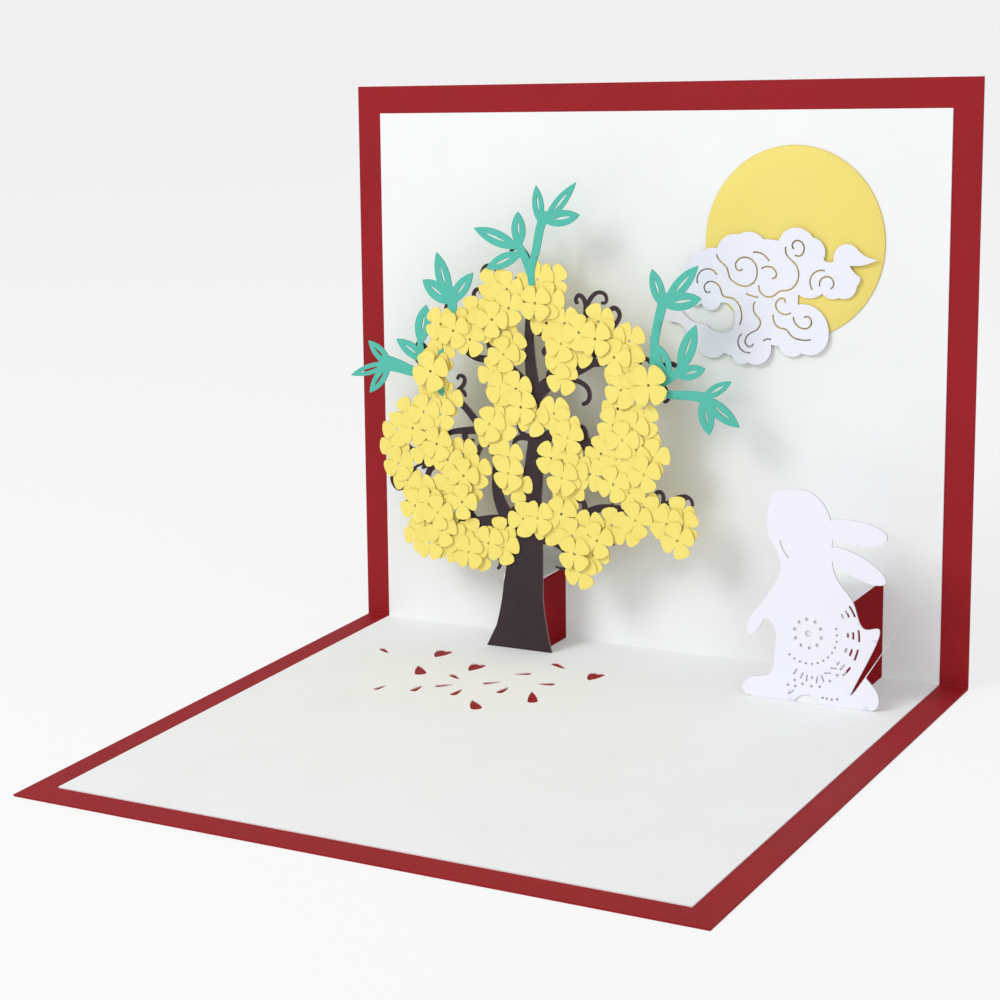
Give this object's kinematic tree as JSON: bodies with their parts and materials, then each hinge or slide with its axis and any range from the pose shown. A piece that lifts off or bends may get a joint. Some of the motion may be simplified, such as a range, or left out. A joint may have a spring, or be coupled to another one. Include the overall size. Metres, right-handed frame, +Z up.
{
  "type": "pop up card",
  "caption": "Paper pop up card standing open, with a blossom tree, a rabbit, a moon and a swirled cloud rising from a folded red and white sheet.",
  "frame": {"origin": "centre of the bounding box's underside, which lies on the underside of the bottom leaf", "axes": "+X along the fold, towards the rabbit; +Y from the free edge of the bottom leaf towards the standing leaf; +Z up"},
  "size_m": [0.18, 0.1644, 0.1502],
  "materials": {
    "red_card": "matte deep red card",
    "white_sheet": "matte white paper",
    "moon_yellow": "matte soft yellow paper",
    "cloud_white": "pearly bluish white paper",
    "brown_paper": "matte dark brown paper",
    "blossom_yellow": "matte pale yellow paper",
    "sprig_green": "matte blue green paper",
    "rabbit_white": "pearly bluish white paper"
  },
  "bodies": {
    "root": {"outer_card": "red_card", "inner_sheet": "white_sheet", "moon": "moon_yellow", "cloud": "cloud_white", "tree": "brown_paper", "blossom_lattice": "blossom_yellow", "sprig_top": "sprig_green", "sprig_upper_left": "sprig_green", "sprig_left": "sprig_green", "sprig_right": "sprig_green", "flower_left": "blossom_yellow", "flower_right": "blossom_yellow", "rabbit": "rabbit_white"}
  },
  "joints": []
}
